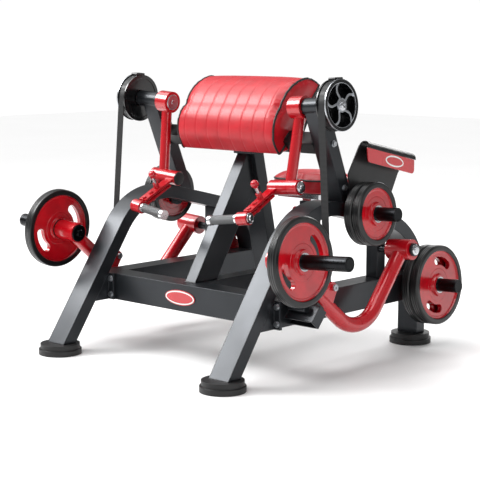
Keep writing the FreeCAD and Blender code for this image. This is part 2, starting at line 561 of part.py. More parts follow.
lever_run = (V(*LEVER_HUB, 0) - V(*LEVER_CORNER, 0)).normalize()
lever_up = V(lever_run.y, -lever_run.x, 0)
ear_bolt = V(*EAR_BOLT, 0)
ear_foot = 56
ear_outline = [ear_bolt + lever_run * run + lever_up * rise for run, rise in (
    (-D.ear_radius, D.ear_radius), (D.ear_radius, D.ear_radius), (D.ear_radius + 14, -ear_foot), (-D.ear_radius - 14, -ear_foot))]
ear_corners = (D.ear_radius - 2, D.ear_radius - 2, 0, 0)
ear_loop = [(point.x, point.y, radius) for point, radius in zip(ear_outline, ear_corners)]
HUB_OUTER, LOAD_END, LOAD_STOP = 55, 285, 60
for side_name, side in SIDES.items():
    tube = bent_tube("LeverTube", side, [LEVER_PIVOT, LEVER_CORNER, LEVER_HUB], D.lever_bend, "lever_radius", "lever_wall")
    pieces = [tube, across("PivotHub", side, "lever_hub_radius", -50, 50, *LEVER_PIVOT),
              across("FrontHub", side, "lever_hub_radius", -45, HUB_OUTER, *LEVER_HUB),
              across("EarBolt", side, "ear_bolt_radius", -32, 32, *EAR_BOLT)]
    pieces += [pad("Ear", "YZ", [loop(ear_loop)], "ear_plate", arm_plane(side, off)) for off in (-22, 22)]
    pivot_bore = across("PivotBore", side, "axle_radius + running_gap", -55, 55, *LEVER_PIVOT)
    keep(cut("WeightLever", fuse("LeverWelded", *pieces), pivot_bore), "weight_lever_" + side_name)
    keep(fuse("LoadHorn", across("LoadStop", side, "horn_radius + 14", HUB_OUTER, LOAD_STOP, *LEVER_HUB),
              across("LoadBar", side, "horn_radius", HUB_OUTER, LOAD_END, *LEVER_HUB)), "load_horn_" + side_name)
    load_place = arm_plane(side, LOAD_STOP + 0.5 + D.big_width / 2, *LEVER_HUB).multiply(ALONG_X)
    keep(plate("LoadPlate", D.big_radius, D.big_width, load_place, LOAD_GRIPS), "load_plate_" + side_name)

# ---- rests: a leaning block on the side beam, with a rubber buffer under the lever ---------------------
REST_Y, REST_END, REST_DEPTH, REST_HEIGHT = -192, 598, 44, 66
lever_slope = math.degrees(math.atan2(LEVER_HUB[1] - LEVER_CORNER[1], LEVER_CORNER[0] - LEVER_HUB[0]))
buffer_point = V(*LEVER_CORNER, 0) + lever_run * ((REST_Y - LEVER_CORNER[0]) / lever_run.x)
rest_length = REST_END - OUTER_FACE
for side_name, side in SIDES.items():
    under_lever = arm_plane(side, 0, buffer_point.x, buffer_point.y).Base
    leaning = at(0, under_lever.y, under_lever.z, X_AXIS, -lever_slope)
    buffer_top = -D.lever_radius - D.clearance
    block_top = buffer_top - D.buffer_height
    block_x = side * (OUTER_FACE + rest_length / 2)
    block_place = leaning.multiply(at(block_x, 0, block_top - REST_HEIGHT / 2))
    block = cut("RestBlock", box("RestOuter", rest_length, REST_DEPTH, REST_HEIGHT, block_place),
                box("RestHollow", rest_length - 12, REST_DEPTH - 8, REST_HEIGHT, block_place.multiply(at(0, 0, -6))))
    foot = box("RestPlate", 8, 112, 88, at(side * (OUTER_FACE + 4), -238, BASE_MIDDLE))
    stub = cylinder("RestStub", 15, 76, block_place.multiply(at(-side * 8, -REST_DEPTH / 2 - 15, 8)).multiply(ALONG_X))
    keep(fuse("RestBracket", block, foot, stub), "rest_bracket_" + side_name)
    keep(box("RestBuffer", 56, REST_DEPTH, "buffer_height",
             leaning.multiply(at(side * abs(under_lever.x), 0, buffer_top - D.buffer_height / 2))),
         "rest_buffer_" + side_name)

# ---- placard on the right rail: bent sheet that folds over its top, and the panel on its lip -----------
SHEET_X, PANEL_X, FOLD_RADIUS = 455, 500, 24.5
top_front, top_rear = V(SHEET_X, 152, 783), V(SHEET_X, 436, 721)
sheet_outline = loop([(152, 790), (440, 727), (386, 672), (350, 606), (362, 480), (70, 540), (96, 630), (88, 690)])
placard = cut("SheetStanding", pad("SheetFlat", "YZ", [sheet_outline], "sheet_plate", at(SHEET_X)), frame_room[1])
fold_shift = V((PANEL_X - SHEET_X) / 2, 0, 0)
fold = cut("FoldTube", rod("FoldOuter", FOLD_RADIUS, top_front + fold_shift, top_rear + fold_shift),
           rod("FoldInner", FOLD_RADIUS - D.sheet_plate, top_front + fold_shift, top_rear + fold_shift))
fold_slope = math.degrees(math.atan2(top_front.z - top_rear.z, top_rear.y - top_front.y))
upper_half = box("UpperHalf", 60, 320, 40,
                 Place((top_front + top_rear) * 0.5 + fold_shift, Rot(X_AXIS, -fold_slope)).multiply(at(0, 0, 20)))
keep(fuse("PlacardSheet", placard, common("Fold", fold, upper_half)), "placard_sheet")
panel_outline = loop([(140, 785, 4), (427, 722, 4), (427, 668, 14), (146, 732, 14)])
keep(pad("PlacardPanel", "YZ", [panel_outline], "sheet_plate", at(PANEL_X)), "placard_panel")

# ---- front badge: a plain oval plate on the front beam --------------------------------------------------
badge = pad("Badge", "XZ", [[Part.Ellipse(V(76, BASE_MIDDLE, 0), V(0, BASE_MIDDLE + 28, 0), V(0, BASE_MIDDLE, 0))]], 3,
            at(0, BEAM_START - 1.5))
keep(badge, "front_badge")

# ---- bolts that hold the frame together -----------------------------------------------------------------
bolts = []
for side in SIDES.values():
    for x in (D.frame_centre - 58, D.frame_centre + 58):
        for z in (BASE_MIDDLE - 30, BASE_MIDDLE + 30):
            bolts.append(bolt("FlangeBolt", at(side * x, D.flange_front, z).multiply(ALONG_Y)))
    for y, z in ((D.beam_y, D.beam_z + 2), (D.beam_y + 63, rail_z(tower_foot_y) + 90)):
        outward = at(side * (D.tower_centre + D.tower_width / 2), y, z).multiply(at(axis=Y_AXIS, angle=side * 90))
        bolts.append(bolt("TowerBolt", outward))
keep(fuse("FrameBolts", *bolts), "frame_bolts")

# ---- origin, checks and export ---------------------------------------------------------------------------
for part in parts:
    part.Placement = at(0, -D.centre_y).multiply(part.Placement)
doc.recompute()
for obj in doc.Objects:
    if "Invalid" in obj.State or "Error" in obj.State:
        raise RuntimeError("%s (%s): %s" % (obj.Name, obj.Label, obj.State))
for part in parts:
    if part.Shape.isNull() or not part.Shape.isValid():
        raise RuntimeError(part.Label + " has no valid shape")

os.makedirs("parts", exist_ok=True)
whole = FreeCAD.BoundBox()
for part in parts:
    part.Shape.exportStep("parts/%s.step" % part.Label)
    whole.add(part.Shape.BoundBox)
    print("%-26s %9.1f cm3" % (part.Label, part.Shape.Volume / 1000))
print("%d sub-parts" % len(parts), whole)
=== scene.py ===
import json
import math

import bmesh
import bpy
from mathutils import Matrix, Vector
from mathutils.bvhtree import BVHTree


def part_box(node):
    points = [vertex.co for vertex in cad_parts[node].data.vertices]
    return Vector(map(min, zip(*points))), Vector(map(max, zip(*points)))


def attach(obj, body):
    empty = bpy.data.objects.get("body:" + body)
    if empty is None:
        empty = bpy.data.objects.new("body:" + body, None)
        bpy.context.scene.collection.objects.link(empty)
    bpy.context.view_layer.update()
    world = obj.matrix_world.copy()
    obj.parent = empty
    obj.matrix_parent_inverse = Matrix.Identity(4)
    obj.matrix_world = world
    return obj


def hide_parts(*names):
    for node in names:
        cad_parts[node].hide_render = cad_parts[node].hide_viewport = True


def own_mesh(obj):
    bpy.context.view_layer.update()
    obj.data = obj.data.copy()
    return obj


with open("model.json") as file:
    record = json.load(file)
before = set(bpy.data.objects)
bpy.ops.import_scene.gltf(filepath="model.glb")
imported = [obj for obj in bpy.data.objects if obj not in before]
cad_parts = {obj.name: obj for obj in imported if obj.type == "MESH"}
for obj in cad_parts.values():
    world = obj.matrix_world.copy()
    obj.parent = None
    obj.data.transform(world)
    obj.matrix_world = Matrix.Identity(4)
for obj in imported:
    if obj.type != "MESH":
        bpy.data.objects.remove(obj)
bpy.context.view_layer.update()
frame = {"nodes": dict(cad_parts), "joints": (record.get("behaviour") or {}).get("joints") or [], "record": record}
joints = {joint["name"]: joint for joint in frame["joints"]}
sides = {"left": -1, "right": 1}
up = Vector((0, 0, 1))
mm = 0.001
print("frame loaded:", len(frame["nodes"]), "nodes")


# helpers for meshes

def meshObject(name, bm):
    mesh = bpy.data.meshes.new(name)
    bm.to_mesh(mesh)
    bm.free()
    piece = bpy.data.objects.new(name, mesh)
    bpy.context.scene.collection.objects.link(piece)
    return piece


def placeAt(centre, axis):
    # stands local Z on an axis at a point
    turn = Vector(axis).normalized().to_track_quat("Z", "Y").to_matrix().to_4x4()
    return Matrix.Translation(Vector(centre)) @ turn


def addLathe(bm, outline, place, segments=48):
    # outline runs from the bottom to the top as (radius, height) in millimetres
    rings = []
    for radius, height in outline:
        if radius < 0.01:
            rings.append([bm.verts.new(place @ Vector((0, 0, height * mm)))])
            continue
        ring = []
        for step in range(segments):
            angle = 2 * math.pi * step / segments
            point = Vector((radius * math.cos(angle), radius * math.sin(angle), height)) * mm
            ring.append(bm.verts.new(place @ point))
        rings.append(ring)
    for lower, upper in zip(rings, rings[1:]):
        for step in range(segments):
            following = (step + 1) % segments
            if len(lower) == 1:
                bm.faces.new((lower[0], upper[following], upper[step]))
            elif len(upper) == 1:
                bm.faces.new((lower[step], lower[following], upper[0]))
            else:
                bm.faces.new((lower[step], lower[following], upper[following], upper[step]))


def lathePiece(name, turned):
    # turned is a list of (outline, centre, axis)
    bm = bmesh.new()
    for outline, centre, axis in turned:
        addLathe(bm, outline, placeAt(centre, axis))
    bmesh.ops.remove_doubles(bm, verts=bm.verts, dist=0.000001)
    bmesh.ops.recalc_face_normals(bm, faces=bm.faces)
    piece = meshObject(name, bm)
    smoothByAngle(piece)
    return piece


def smoothByAngle(piece, degrees=35):
    for polygon in piece.data.polygons:
        polygon.use_smooth = True
    bm = bmesh.new()
    bm.from_mesh(piece.data)
    for edge in bm.edges:
        if len(edge.link_faces) == 2 and edge.calc_face_angle(0) > math.radians(degrees):
            edge.smooth = False
    bm.to_mesh(piece.data)
    bm.free()


def domeOutline(radius, height, edge=1.5):
    # bolt head or cap: straight side, rounded edge, slightly domed top
    outline = [(0, 0), (radius, 0), (radius, height - edge)]
    for step in range(1, 5):
        angle = math.radians(step * 90 / 4)
        outline.append((radius - edge + edge * math.cos(angle), height - edge + edge * math.sin(angle)))
    outline.append((0, height + radius * 0.04))
    return outline


def tubeAlong(name, paths, radius):
    # closed round tubes through points
    curve = bpy.data.curves.new(name, "CURVE")
    curve.dimensions = "3D"
    curve.bevel_depth = radius
    curve.bevel_resolution = 3
    for path in paths:
        spline = curve.splines.new("POLY")
        spline.points.add(len(path) - 1)
        for point, place in zip(spline.points, path):
            point.co = (*place, 1)
        spline.use_cyclic_u = True
    holder = bpy.data.objects.new(name + "Curve", curve)
    bpy.context.scene.collection.objects.link(holder)
    mesh = bpy.data.meshes.new_from_object(holder.evaluated_get(bpy.context.evaluated_depsgraph_get()))
    bpy.data.objects.remove(holder)
    piece = bpy.data.objects.new(name, mesh)
    bpy.context.scene.collection.objects.link(piece)
    for polygon in mesh.polygons:
        polygon.use_smooth = True
    return piece


# helpers for materials

def linear(hexColour):
    channels = [int(hexColour[i:i + 2], 16) / 255 for i in (1, 3, 5)]
    return (*[c / 12.92 if c <= 0.04045 else ((c + 0.055) / 1.055) ** 2.4 for c in channels], 1)


def addNode(tree, kind, values=None, links=None, **settings):
    node = tree.nodes.new(kind)
    for key, value in settings.items():
        setattr(node, key, value)
    for key, value in (values or {}).items():
        node.inputs[key].default_value = value
    for key, source in (links or {}).items():
        tree.links.new(source, node.inputs[key])
    return node


def newFinish(name, values):
    finish = bpy.data.materials.new(name)
    finish.use_nodes = True
    tree = finish.node_tree
    tree.nodes.clear()
    shader = addNode(tree, "ShaderNodeBsdfPrincipled", values)
    addNode(tree, "ShaderNodeOutputMaterial", links={"Surface": shader.outputs["BSDF"]})
    coords = addNode(tree, "ShaderNodeTexCoord").outputs["Object"]
    return finish, tree, shader, coords


def noise(tree, coords, sizeMm, detail=2.0):
    # a noise whose grains are about sizeMm wide
    return addNode(tree, "ShaderNodeTexNoise", {"Scale": 1 / (sizeMm * mm), "Detail": detail},
                   {"Vector": coords})


def blendColours(tree, factor, first, second):
    node = addNode(tree, "ShaderNodeMix", data_type="RGBA")
    for key, value in (("A", first), ("B", second)):
        socket = [s for s in node.inputs if s.name == key and s.type == "RGBA"][0]
        if isinstance(value, str):
            socket.default_value = linear(value)
        else:
            tree.links.new(value, socket)
    tree.links.new(factor, node.inputs[0])
    return [s for s in node.outputs if s.type == "RGBA"][0]


def ramp(tree, source, fromLow, fromHigh, toLow=0.0, toHigh=1.0):
    values = {"From Min": fromLow, "From Max": fromHigh, "To Min": toLow, "To Max": toHigh}
    return addNode(tree, "ShaderNodeMapRange", values, {"Value": source}).outputs["Result"]


def coatedFinish(name, spec):
    # paint, plastic, rubber or metal with a fine speckle, a slow drift of tone, and a small relief
    finish, tree, shader, coords = newFinish(name, {
        "Metallic": spec["metallic"], "Coat Weight": spec.get("coat", 0),
        "Coat Roughness": spec.get("coatRoughness", 0.05)})
    speckle = noise(tree, coords, spec["speckleMm"])
    drift = noise(tree, coords, spec.get("driftMm", 180), 3)
    mixed = addNode(tree, "ShaderNodeMath", {1: 0.6}, {0: speckle.outputs["Fac"]}, operation="MULTIPLY")
    mixed = addNode(tree, "ShaderNodeMath", {1: 0.4}, {0: drift.outputs["Fac"], 2: mixed.outputs[0]},
                    operation="MULTIPLY_ADD")
    factor = ramp(tree, mixed.outputs[0], 0.35, 0.65)
    tree.links.new(blendColours(tree, factor, spec["colour"], spec["second"]),
                   shader.inputs["Base Color"])
    low, high = spec["roughness"]
    tree.links.new(ramp(tree, drift.outputs["Fac"], 0.35, 0.65, low, high), shader.inputs["Roughness"])
    relief = noise(tree, coords, spec["reliefMm"], 2)
    bump = addNode(tree, "ShaderNodeBump", {"Strength": 0.3, "Distance": spec["reliefDepthMm"] * mm},
                   {"Height": relief.outputs["Fac"]})
    if spec.get("edgeMm"):
        rounded = addNode(tree, "ShaderNodeBevel", {"Radius": spec["edgeMm"] * mm}, samples=6)
        tree.links.new(rounded.outputs["Normal"], bump.inputs["Normal"])
    tree.links.new(bump.outputs["Normal"], shader.inputs["Normal"])
    return finish


finishSpecs = {
    # metallic powder coat: fine flakes under a soft gloss, slight orange peel, rounded tube edges
    "anthracitePowderCoat": {"colour": "#2c2f33", "second": "#24272b", "metallic": 0.6,
                             "roughness": (0.30, 0.38),
                             "speckleMm": 0.9, "reliefMm": 3.5, "reliefDepthMm": 0.06, "edgeMm": 5, "coat": 0.15, "coatRoughness": 0.2},
    # fine texture black powder coat on sheet metal: nearly matt with a tight grain
    "blackTexturedCoat": {"colour": "#0d0e0f", "second": "#131416", "metallic": 0.0,
                          "roughness": (0.36, 0.44),
                          "speckleMm": 1.2, "reliefMm": 1.6, "reliefDepthMm": 0.12, "edgeMm": 2},
    # baked enamel over steel tube: deep red under a glassy clear coat
    "redEnamel": {"colour": "#c80519", "second": "#b40416", "metallic": 0.1, "roughness": (0.24, 0.32),
                  "speckleMm": 0.8, "reliefMm": 6, "reliefDepthMm": 0.05, "edgeMm": 2.5, "coat": 0.8, "coatRoughness": 0.06},
    # moulded rubber: matt black, faintly mottled by the mould
    "mouldedRubber": {"colour": "#0b0b0c", "second": "#121213", "metallic": 0.0,
                      "roughness": (0.42, 0.55),
                      "speckleMm": 1.5, "reliefMm": 1.2, "reliefDepthMm": 0.15, "edgeMm": 3},
    # hard chrome: near mirror with faint cloudy polish marks
    "chromePlate": {"colour": "#d4d5d8", "second": "#c8cacd", "metallic": 1.0, "roughness": (0.08, 0.14),
                    "speckleMm": 2, "reliefMm": 9, "reliefDepthMm": 0.02, "edgeMm": 1},
    # blackened, turned steel: dark satin metal
    "blackenedSteel": {"colour": "#2b2c2e", "second": "#1f2022", "metallic": 1.0,
                       "roughness": (0.24, 0.34),
                       "speckleMm": 1, "reliefMm": 1.5, "reliefDepthMm": 0.04, "edgeMm": 1.5},
    # zinc plated bolt: pale grey metal, a little dull
    "zincPlate": {"colour": "#b9bcc0", "second": "#a6a9ad", "metallic": 1.0, "roughness": (0.24, 0.34),
                  "speckleMm": 0.8, "reliefMm": 1.4, "reliefDepthMm": 0.03, "edgeMm": 1},
    # glossy phenolic ball knob: saturated red, polished
    "ballKnobPhenolic": {"colour": "#c01024", "second": "#b30c1f", "metallic": 0.0,
                         "roughness": (0.16, 0.22),
                         "speckleMm": 2, "reliefMm": 8, "reliefDepthMm": 0.03, "coat": 0.6, "coatRoughness": 0.04},
    # black stained plywood behind the pads: flat with an open grain
    "stainedPlywood": {"colour": "#141312", "second": "#1d1b19", "metallic": 0.0,
                       "roughness": (0.6, 0.75),
                       "speckleMm": 2.5, "reliefMm": 2.2, "reliefDepthMm": 0.2, "edgeMm": 2},
    # moulded ABS end plugs and bushes: satin black
    "blackAbs": {"colour": "#1a1b1c", "second": "#202122", "metallic": 0.0, "roughness": (0.38, 0.48),
                 "speckleMm": 1.2, "reliefMm": 1.0, "reliefDepthMm": 0.06, "edgeMm": 1.5},
    # white lacquer of the badges' borders
    "whiteLacquer": {"colour": "#eeeeec", "second": "#e4e4e2", "metallic": 0.0, "roughness": (0.2, 0.28),
                     "speckleMm": 2, "reliefMm": 5, "reliefDepthMm": 0.03, "coat": 0.5},
}
finishes = {name: coatedFinish(name, spec) for name, spec in finishSpecs.items()}


def vinylFinish(name, colour, second, grainMm):
    # upholstery vinyl: pebbled grain, soft sheen, and painted crease shade that blends the tone towards the second
    # colour where the crease noise is high
    finish, tree, shader, coords = newFinish(name, {
        "Metallic": 0, "Coat Weight": 0.12, "Coat Roughness": 0.25, "Sheen Weight": 0.05, "Sheen Roughness": 0.4})
    grain = addNode(tree, "ShaderNodeTexVoronoi", {"Scale": 1 / (grainMm * mm)}, {"Vector": coords},
                    feature="SMOOTH_F1")
    creaseNoiseAndShade = noise(tree, coords, 45, 4)
    # painted crease shade: the colour blend follows the same noise that shapes the crease relief
    factor = ramp(tree, creaseNoiseAndShade.outputs["Fac"], 0.3, 0.7)
    base = blendColours(tree, factor, colour, second)
    tree.links.new(base, shader.inputs["Base Color"])
    tree.links.new(ramp(tree, grain.outputs["Distance"], 0, 0.8, 0.36, 0.5), shader.inputs["Roughness"])
    wave = addNode(tree, "ShaderNodeBump", {"Strength": 0.12, "Distance": 1.5 * mm},
                   {"Height": creaseNoiseAndShade.outputs["Fac"]})
    bump = addNode(tree, "ShaderNodeBump", {"Strength": 0.35, "Distance": 0.25 * mm},
                   {"Height": grain.outputs["Distance"], "Normal": wave.outputs["Normal"]})
    tree.links.new(bump.outputs["Normal"], shader.inputs["Normal"])
    return finish


# grain is drawn at 1.6 mm, coarser than the real 0.8 mm, so that it shows
finishes["redVinyl"] = vinylFinish("redVinyl", "#c0061c", "#ad0518", 1.6)
finishes["blackVinyl"] = vinylFinish("blackVinyl", "#0b0b0c", "#131314", 1.2)


def fromAxis(tree, coords, centre, axis):
    # distance out from an axis, height along it, and the vector from the centre
    offset = addNode(tree, "ShaderNodeVectorMath", {1: Vector(centre)}, {0: coords},
                     operation="SUBTRACT").outputs[0]
    height = addNode(tree, "ShaderNodeVectorMath", {1: Vector(axis).normalized()}, {0: offset},
                     operation="DOT_PRODUCT").outputs["Value"]
    along = addNode(tree, "ShaderNodeVectorMath", {0: Vector(axis).normalized()}, {"Scale": height},
                    operation="SCALE").outputs[0]
    outward = addNode(tree, "ShaderNodeVectorMath", links={0: offset, 1: along},
                      operation="SUBTRACT").outputs[0]
    radius = addNode(tree, "ShaderNodeVectorMath", links={0: outward},
                     operation="LENGTH").outputs["Value"]
    return radius, height, outward


def above(tree, source, limit, soft=0.0003):
    return ramp(tree, source, limit - soft, limit + soft)


plateLook = {"enamel": "#c80519", "enamelDark": "#ab0415", "rubber": "#0c0d0e", "rubberWorn": "#151617",
             "bore": "#b4b6b9",
             "boreEdgeMm": 31, "grooveMm": 9, "ringsMm": (44, 62)}


def plateFinish(name, centre, axis, rimMm):
    # cast plate: red enamel dish, rubber rim with turned grooves, bare steel ring round the bore
    look = plateLook
    finish, tree, shader, coords = newFinish(name, {"Coat Roughness": 0.12})
    radius, height = fromAxis(tree, coords, centre, axis)[:2]
    cloud = noise(tree, coords, 60, 3)
    grain = noise(tree, coords, 1.4, 2)
    enamel = blendColours(tree, ramp(tree, cloud.outputs["Fac"], 0.3, 0.7), look["enamel"],
                          look["enamelDark"])
    rubber = blendColours(tree, ramp(tree, grain.outputs["Fac"], 0.35, 0.65), look["rubber"],
                          look["rubberWorn"])
    onRim = above(tree, radius, rimMm * mm)
    onBore = addNode(tree, "ShaderNodeMath", {0: 1.0}, {1: above(tree, radius, look["boreEdgeMm"] * mm)},
                     operation="SUBTRACT").outputs[0]
    colour = blendColours(tree, onRim, enamel, rubber)
    colour = blendColours(tree, onBore, colour, look["bore"])
    tree.links.new(colour, shader.inputs["Base Color"])
    tree.links.new(onBore, shader.inputs["Metallic"])
    tree.links.new(ramp(tree, onRim, 0, 1, 0.24, 0.3), shader.inputs["Roughness"])
    tree.links.new(ramp(tree, onRim, 0, 1, 0.6, 0.0), shader.inputs["Coat Weight"])
    groove = addNode(tree, "ShaderNodeMath", {1: 2 * math.pi / (look["grooveMm"] * mm)}, {0: height},
                     operation="MULTIPLY").outputs[0]
    groove = addNode(tree, "ShaderNodeMath", links={0: groove}, operation="SINE").outputs[0]
    groove = addNode(tree, "ShaderNodeMath", links={0: groove, 1: onRim},
                     operation="MULTIPLY").outputs[0]
    rounded = addNode(tree, "ShaderNodeBevel", {"Radius": 3 * mm}, samples=6)
    rough = addNode(tree, "ShaderNodeBump", {"Strength": 0.25, "Distance": 0.2 * mm},
                    {"Height": grain.outputs["Fac"], "Normal": rounded.outputs["Normal"]})
    grooved = addNode(tree, "ShaderNodeBump", {"Strength": 0.5, "Distance": 1.2 * mm},
                      {"Height": groove, "Normal": rough.outputs["Normal"]})
    # raised ring round the hub, and a step just inside the rubber
    inside, outside = look["ringsMm"]
    ring = addNode(tree, "ShaderNodeMath", links={0: above(tree, radius, inside * mm, 0.0015),
                                                  1: above(tree, radius, outside * mm, 0.0015)},
                   operation="SUBTRACT").outputs[0]
    ring = addNode(tree, "ShaderNodeMath", links={0: ring,
                                                  1: above(tree, radius, (rimMm - 8) * mm,
                                                           0.002)}, operation="ADD").outputs[0]
    bump = addNode(tree, "ShaderNodeBump", {"Strength": 0.9, "Distance": 2 * mm},
                   {"Height": ring, "Normal": grooved.outputs["Normal"]})
    tree.links.new(bump.outputs["Normal"], shader.inputs["Normal"])
    return finish


camLook = {"blackRimMm": (78.5, 89.5), "faceMm": 17.5}


def camFinish(name, centre, axis):
    # cast wheel in gloss black with painted highlights: its outer face is painted bright metal on the vanes and hub
    # and in thin lines at both edges of the rim
    finish, tree, shader, coords = newFinish(name, {"Coat Weight": 0.3, "Coat Roughness": 0.08})
    radius, height = fromAxis(tree, coords, centre, axis)[:2]
    grain = noise(tree, coords, 2.2, 3)
    black = blendColours(tree, ramp(tree, grain.outputs["Fac"], 0.35, 0.65), "#09090a", "#101012")
    bright = blendColours(tree, ramp(tree, grain.outputs["Fac"], 0.35, 0.65), "#c4c7cb", "#aeb1b6")
    # painted highlights: bright metal on the vanes and on thin lines at both edges of the rim
    inside, outside = camLook["blackRimMm"]
    rim = addNode(tree, "ShaderNodeMath", links={0: above(tree, radius, inside * mm),
                                                 1: above(tree, radius, outside * mm)},
                  operation="SUBTRACT")
    paintedHighlightMask = addNode(tree, "ShaderNodeMath", {0: 1.0}, {1: rim.outputs[0]},
                     operation="SUBTRACT").outputs[0]
    outerFace = above(tree, height, camLook["faceMm"] * mm)
    paintedHighlightMask = addNode(tree, "ShaderNodeMath", links={0: paintedHighlightMask, 1: outerFace}, operation="MULTIPLY").outputs[0]
    # painted highlights: the bright metal colour goes where the highlight mask is, black elsewhere
    tree.links.new(blendColours(tree, paintedHighlightMask, black, bright), shader.inputs["Base Color"])
    tree.links.new(paintedHighlightMask, shader.inputs["Metallic"])
    tree.links.new(ramp(tree, paintedHighlightMask, 0, 1, 0.22, 0.3), shader.inputs["Roughness"])
    rounded = addNode(tree, "ShaderNodeBevel", {"Radius": 2 * mm}, samples=6)
    bump = addNode(tree, "ShaderNodeBump", {"Strength": 0.2, "Distance": 0.2 * mm},
                   {"Height": grain.outputs["Fac"], "Normal": rounded.outputs["Normal"]})
    tree.links.new(bump.outputs["Normal"], shader.inputs["Normal"])
    return finish


gripLook = {"knurlMm": 3.2, "ringEndMm": 36, "capStartMm": 141, "spinAtMm": 90}


def gripFinish(name, centre, axis):
    # knurled steel tube between two smooth, bright aluminium rings; the knurl is drawn coarse so that it shows
    look = gripLook
    finish, tree, shader, coords = newFinish(name, {"Metallic": 1})
    height, outward = fromAxis(tree, coords, centre, axis)[1:]
    sideways = Vector(axis).cross(up).normalized()
    upright = sideways.cross(Vector(axis)).normalized()
    across = addNode(tree, "ShaderNodeVectorMath", {1: sideways}, {0: outward},
                     operation="DOT_PRODUCT").outputs["Value"]
    over = addNode(tree, "ShaderNodeVectorMath", {1: upright}, {0: outward},
                   operation="DOT_PRODUCT").outputs["Value"]
    angle = addNode(tree, "ShaderNodeMath", links={0: over, 1: across}, operation="ARCTAN2").outputs[0]
    waves = []
    for sign in (-1, 1):
        turn = addNode(tree, "ShaderNodeMath", {1: 32.0 * sign}, {0: angle},
                       operation="MULTIPLY").outputs[0]
        wave = addNode(tree, "ShaderNodeMath", {1: 2 * math.pi / (look["knurlMm"] * mm)},
                       {0: height, 2: turn}, operation="MULTIPLY_ADD")
        waves.append(addNode(tree, "ShaderNodeMath", links={0: wave.outputs[0]},
                             operation="SINE").outputs[0])
    knurl = addNode(tree, "ShaderNodeMath", links={0: waves[0], 1: waves[1]},
                    operation="MULTIPLY").outputs[0]
    fromCollar = (look["ringEndMm"] - look["spinAtMm"]) * mm
    fromCap = (look["capStartMm"] - look["spinAtMm"]) * mm
    onTube = addNode(tree, "ShaderNodeMath", links={0: above(tree, height, fromCollar),
                                                    1: above(tree, height, fromCap)},
                     operation="SUBTRACT").outputs[0]
    grain = noise(tree, coords, 1.1, 2)
    steel = blendColours(tree, ramp(tree, grain.outputs["Fac"], 0.35, 0.65), "#77797a", "#6a6b6c")
    bright = blendColours(tree, ramp(tree, grain.outputs["Fac"], 0.35, 0.65), "#e6e7e8", "#d6d8da")
    tree.links.new(blendColours(tree, onTube, bright, steel), shader.inputs["Base Color"])
    tree.links.new(ramp(tree, onTube, 0, 1, 0.22, 0.42), shader.inputs["Roughness"])
    relief = addNode(tree, "ShaderNodeMath", links={0: knurl, 1: onTube},
                     operation="MULTIPLY").outputs[0]
    bump = addNode(tree, "ShaderNodeBump", {"Strength": 0.6, "Distance": 0.5 * mm}, {"Height": relief})
    tree.links.new(bump.outputs["Normal"], shader.inputs["Normal"])
    return finish


def knobFinish(name, centre, axis, ballMm):
    # pull pin: red phenolic ball on a chrome rod
    finish, tree, shader, coords = newFinish(name, {"Coat Roughness": 0.05})
    height = fromAxis(tree, coords, centre, axis)[1]
    grain = noise(tree, coords, 2, 2)
    onBall = above(tree, height, ballMm * mm)
    red = blendColours(tree, ramp(tree, grain.outputs["Fac"], 0.35, 0.65), "#c41226", "#b60d20")
    bright = blendColours(tree, ramp(tree, grain.outputs["Fac"], 0.35, 0.65), "#d4d5d8", "#c2c4c8")
    tree.links.new(blendColours(tree, onBall, bright, red), shader.inputs["Base Color"])
    tree.links.new(ramp(tree, onBall, 0, 1, 1, 0), shader.inputs["Metallic"])
    tree.links.new(ramp(tree, onBall, 0, 1, 0, 0.6), shader.inputs["Coat Weight"])
    tree.links.new(ramp(tree, grain.outputs["Fac"], 0.3, 0.7, 0.12, 0.18), shader.inputs["Roughness"])
    return finish


def beltFinish(name, ribScale):
    # woven belt with a rubber skin: cross ribs, drawn coarse so that they show
    finish, tree, shader, coords = newFinish(name, {"Metallic": 0})
    ribs = addNode(tree, "ShaderNodeTexWave", {"Scale": ribScale, "Distortion": 0.6,
                                               "Detail": 1}, {"Vector": coords},
                   bands_direction="Z")
    grain = noise(tree, coords, 0.9, 2)
    tree.links.new(blendColours(tree, ramp(tree, grain.outputs["Fac"], 0.3, 0.7), "#0b0c0d", "#141517"),
                   shader.inputs["Base Color"])
    tree.links.new(ramp(tree, ribs.outputs["Fac"], 0, 1, 0.45, 0.6), shader.inputs["Roughness"])
    bump = addNode(tree, "ShaderNodeBump", {"Strength": 0.4, "Distance": 0.3 * mm},
                   {"Height": ribs.outputs["Fac"]})
    tree.links.new(bump.outputs["Normal"], shader.inputs["Normal"])
    return finish


finishes["wovenBelt"] = beltFinish("wovenBelt", ribScale=15.625)  # ribs 20 mm apart


def giveFinish(piece, finish):
    material = finishes[finish] if isinstance(finish, str) else finish
    piece.data.materials.clear()
    piece.data.materials.append(material)


def recolourNode(node, finish):
    # a CAD node keeps its mesh; only its material slots change
    material = finishes[finish] if isinstance(finish, str) else finish
    for slot in frame["nodes"][node].material_slots:
        slot.material = material


def dress(piece, finish, body, nodes=()):
    if finish:
        giveFinish(piece, finish)
    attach(piece, body)
    if nodes:
        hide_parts(*nodes)


# finishes of the CAD nodes
slotFinish = {"frame_paint": "anthracitePowderCoat", "black_paint": "blackTexturedCoat",
              "red_paint": "redEnamel",
              "rubber": "mouldedRubber", "belt": "wovenBelt", "pad_vinyl": "redVinyl", "black_board": "stainedPlywood",
              "chrome_steel": "chromePlate", "bar_steel": "blackenedSteel", "zinc_bolts": "zincPlate"}
for part in frame["record"]["subparts"]:
    if part["material_slot"] in slotFinish:
        recolourNode(part["node"], slotFinish[part["material_slot"]])


def middleOf(node):
    low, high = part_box(node)
    return (Vector(low) + Vector(high)) / 2


